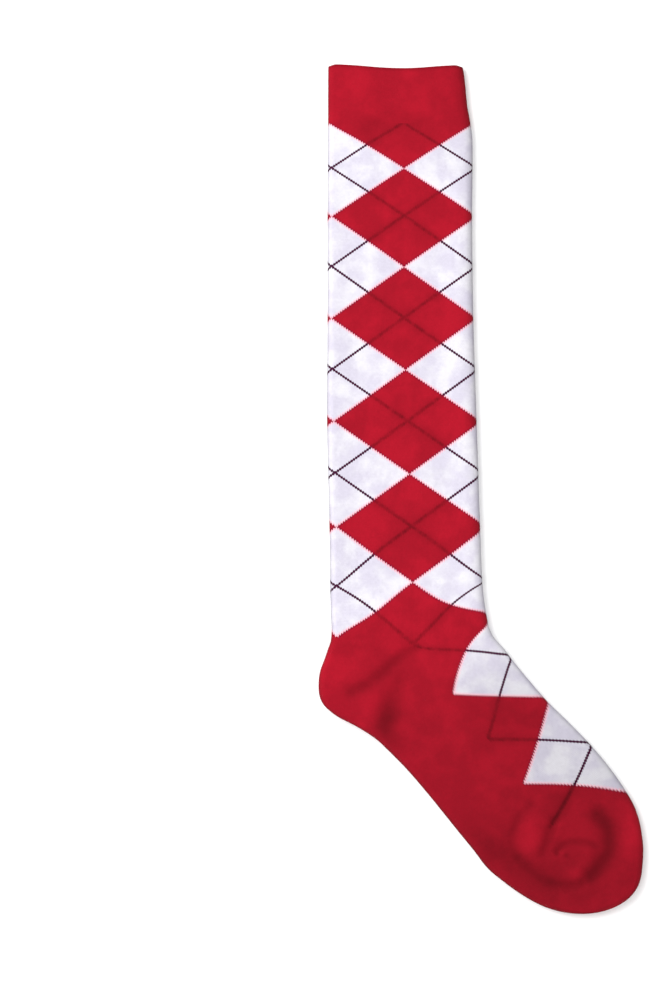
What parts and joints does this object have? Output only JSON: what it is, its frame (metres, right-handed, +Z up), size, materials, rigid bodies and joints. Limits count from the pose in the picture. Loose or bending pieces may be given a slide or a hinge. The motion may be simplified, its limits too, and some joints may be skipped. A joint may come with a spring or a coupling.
{
  "type": "golf knee sock",
  "caption": "Knee-high knitted argyle sock lying flat on its side, open at the cuff, with a turned heel and a closed toe.",
  "frame": {"origin": "on the floor, below the middle of the whole sock", "axes": "+Y along the leg towards the cuff, +X from the back fold towards the front fold and the toe, +Z up from the floor that the sock lies on"},
  "size_m": [0.2012, 0.5268, 0.0107],
  "materials": {
    "red_knit": "fine plain knit, matt",
    "argyle_knit": "fine plain knit, matt, in an argyle of red and white diamonds with thin dark crossing lines"
  },
  "bodies": {
    "root": {"cuff": "red_knit", "leg": "argyle_knit", "heel": "red_knit", "foot": "argyle_knit", "toe": "red_knit"}
  },
  "joints": []
}
